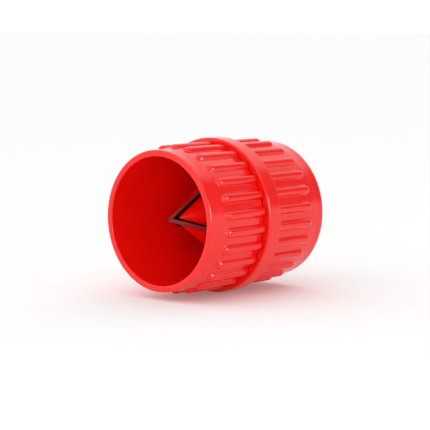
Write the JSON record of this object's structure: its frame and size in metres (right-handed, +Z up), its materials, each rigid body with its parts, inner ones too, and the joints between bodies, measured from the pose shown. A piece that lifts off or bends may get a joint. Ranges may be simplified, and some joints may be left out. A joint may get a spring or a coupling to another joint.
{
  "type": "deburring tool",
  "caption": "Ribbed plastic barrel with a raised grip band, open at both ends, with a cone of steel blades inside that trims the burr inside or outside a tube's end.",
  "frame": {"origin": "middle of the bounding box at its base, where the grip band touches the surface the tool lies on", "axes": "+Y along the barrel from the front mouth, which takes a tube's bore, to the rear mouth, which takes its outside; +Z up"},
  "size_m": [0.0512, 0.056, 0.0511],
  "materials": {
    "shell_plastic": "moulded, glossy",
    "carrier_plastic": "moulded, glossy",
    "blade_steel": "black oxide, ground edges"
  },
  "bodies": {
    "root": {"front_shell": "shell_plastic", "rear_shell": "shell_plastic", "blade_carrier": "carrier_plastic", "blade_1": "blade_steel", "blade_2": "blade_steel", "blade_3": "blade_steel"}
  },
  "joints": []
}
